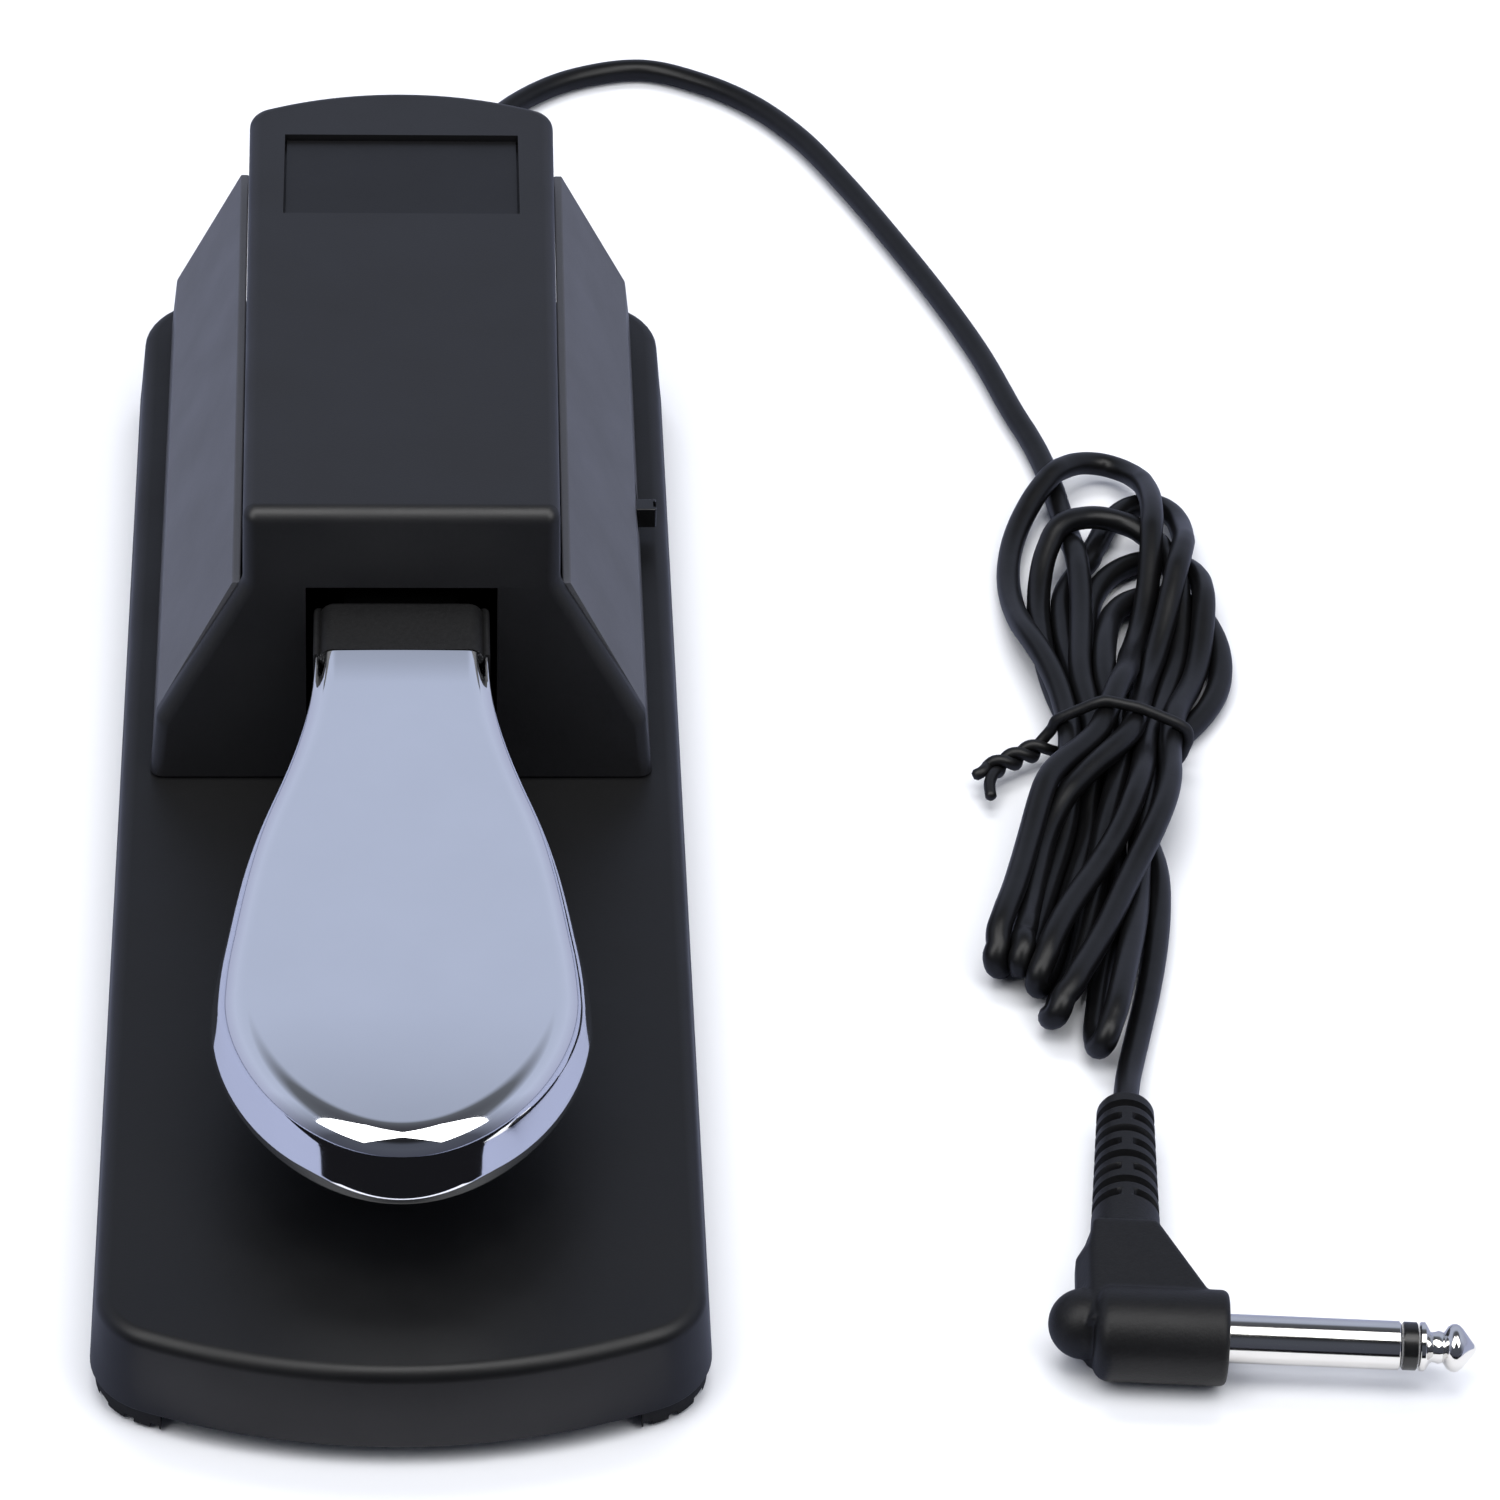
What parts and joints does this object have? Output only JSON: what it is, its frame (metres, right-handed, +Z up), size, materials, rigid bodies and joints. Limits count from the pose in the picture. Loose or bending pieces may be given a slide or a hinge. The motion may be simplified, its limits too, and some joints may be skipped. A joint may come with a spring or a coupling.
{
  "type": "sustain pedal",
  "caption": "Piano-style sustain foot pedal: sprung chromed lever in a narrow housing on a low base, with a tied lead and an angled jack plug.",
  "frame": {"origin": "on the floor under the middle of the base", "axes": "+X to the player's right, +Y from the toe of the pedal to the rear where the lead leaves, +Z up"},
  "size_m": [0.1778, 0.3291, 0.0541],
  "materials": {
    "base_plastic": "fine matt moulding grain",
    "plate_paint": "satin black paint",
    "foot_rubber": "matt",
    "housing_plastic": "fine matt moulding grain",
    "wing_plastic": "satin",
    "nameplate_plastic": "satin",
    "arm_plastic": "coarse moulding grain",
    "pedal_chrome": "mirror",
    "inner_steel": "zinc plated",
    "spring_steel": "drawn wire",
    "pad_rubber": "matt",
    "nylon": "natural",
    "switch_plastic": "satin",
    "board": "solder mask",
    "knob_gloss": "gloss",
    "clamp_plastic": "satin",
    "screw_steel": "zinc plated",
    "boot_rubber": "satin",
    "cable_jacket": "semi-gloss PVC",
    "tie_plastic": "satin",
    "plug_moulding": "fine texture",
    "plug_metal": "nickel plated",
    "plug_ring": "gloss"
  },
  "bodies": {
    "root": {"base_shell": "base_plastic", "bottom_plate": "plate_paint", "foot_front_left": "foot_rubber", "foot_front_right": "foot_rubber", "foot_rear_left": "foot_rubber", "foot_rear_right": "foot_rubber", "upper_housing": "housing_plastic", "wing_left": "wing_plastic", "wing_right": "wing_plastic", "nameplate": "nameplate_plastic", "pivot_axle": "inner_steel", "axle_clip_left": "inner_steel", "axle_clip_right": "inner_steel", "pivot_bracket": "inner_steel", "return_spring": "spring_steel", "down_stop_pad": "pad_rubber", "rest_stop_pad": "pad_rubber", "microswitch_body": "switch_plastic", "switch_screw_1": "screw_steel", "switch_screw_2": "screw_steel", "polarity_switch_body": "inner_steel", "polarity_board": "board", "housing_screw_1": "screw_steel", "housing_screw_2": "screw_steel", "housing_screw_3": "screw_steel", "housing_screw_4": "screw_steel", "wing_screw_1": "screw_steel", "wing_screw_2": "screw_steel", "wing_screw_3": "screw_steel", "wing_screw_4": "screw_steel", "plate_screw_1": "screw_steel", "plate_screw_2": "screw_steel", "plate_screw_3": "screw_steel", "plate_screw_4": "screw_steel", "bracket_screw_left": "screw_steel", "bracket_screw_right": "screw_steel", "clamp_screw_left": "screw_steel", "clamp_screw_right": "screw_steel", "cord_clamp": "clamp_plastic", "cord_gland": "boot_rubber", "inner_lead": "cable_jacket", "cord_lead": "cable_jacket", "cord_hank": "cable_jacket", "cord_tail": "cable_jacket", "cable_tie": "tie_plastic", "plug_relief": "boot_rubber", "plug_body": "plug_moulding", "plug_sleeve": "plug_metal", "plug_insulator": "plug_ring", "plug_tip": "plug_metal"},
    "pedal": {"pedal_arm": "arm_plastic", "pedal_shell": "pedal_chrome", "shell_screw_rear": "screw_steel", "shell_screw_front": "screw_steel", "pivot_bush_left": "nylon", "pivot_bush_right": "nylon"},
    "switch_lever": {"microswitch_lever": "inner_steel"},
    "switch_plunger": {"microswitch_plunger": "nylon"},
    "polarity_slider": {"polarity_knob": "knob_gloss"}
  },
  "joints": [
    {"name": "pedal_hinge", "type": "hinge", "parent": "root", "child": "pedal", "pos_m": [0, 0.087, 0.031], "axis": [1, 0, 0], "range_deg": [0, 3.6], "stiffness_Nm_per_rad": 8, "springref_deg": -8.59, "deforming": ["return_spring"]},
    {"name": "switch_lever_hinge", "type": "hinge", "parent": "root", "child": "switch_lever", "pos_m": [0, 0.07345, 0.027], "axis": [1, 0, 0], "range_deg": [0, 6.6]},
    {"name": "switch_plunger_slide", "type": "slide", "parent": "root", "child": "switch_plunger", "axis": [0, 0, -1], "range_m": [0, 0.00065]},
    {"name": "polarity_slide", "type": "slide", "parent": "root", "child": "polarity_slider", "axis": [0, 1, 0], "range_m": [0, 0.003]}
  ],
  "couplings": [
    {"joint": "switch_lever_hinge", "follows": "pedal_hinge", "ratio": 1.82},
    {"joint": "switch_plunger_slide", "follows": "pedal_hinge", "m_per_rad": 0.0099}
  ]
}
